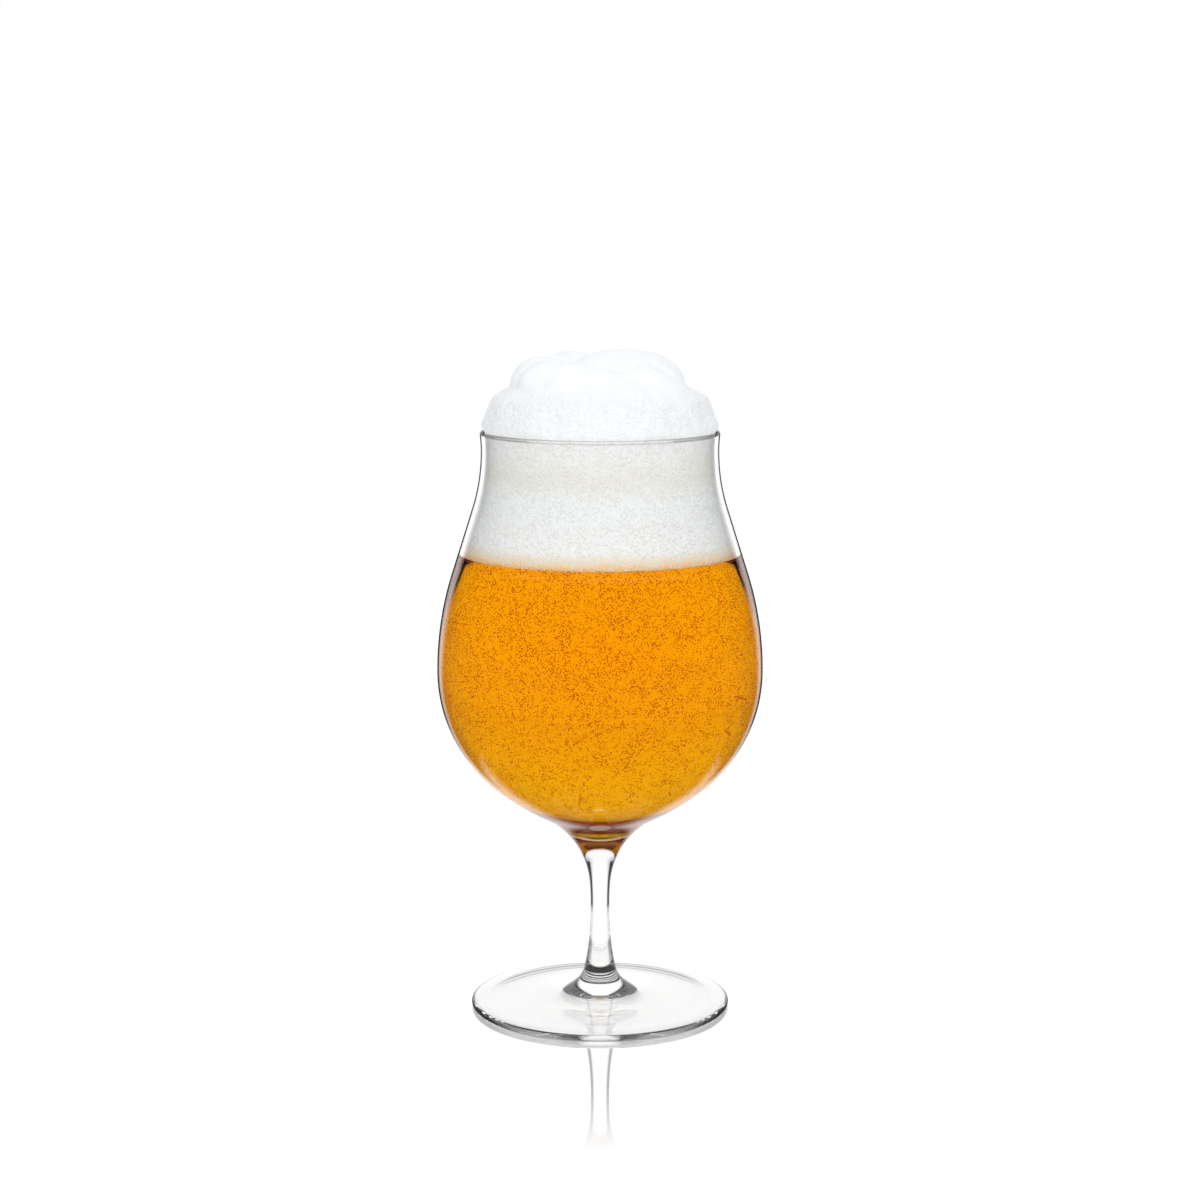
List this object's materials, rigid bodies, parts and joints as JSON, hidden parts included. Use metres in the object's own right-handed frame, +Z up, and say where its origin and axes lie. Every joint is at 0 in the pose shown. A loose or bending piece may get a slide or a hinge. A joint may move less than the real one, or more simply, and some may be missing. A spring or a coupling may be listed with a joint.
{
  "type": "beer glass",
  "caption": "Stemmed beer glass with a round belly, a narrow waist and a thin foot, filled with amber beer and topped with a tall head of foam.",
  "frame": {"origin": "middle of the foot's underside, on the plane that the glass stands on", "axes": "+Z up along the axis of the glass, -Y the side seen in the picture, +X to its right"},
  "size_m": [0.099, 0.099, 0.2022],
  "materials": {
    "clear_glass": "clear, polished, blown glass",
    "amber_beer": "clear amber liquid with fine bubbles",
    "beer_foam": "soft, fine-bubbled white foam"
  },
  "bodies": {
    "root": {"glass": "clear_glass", "beer": "amber_beer", "foam_head": "beer_foam"}
  },
  "joints": []
}
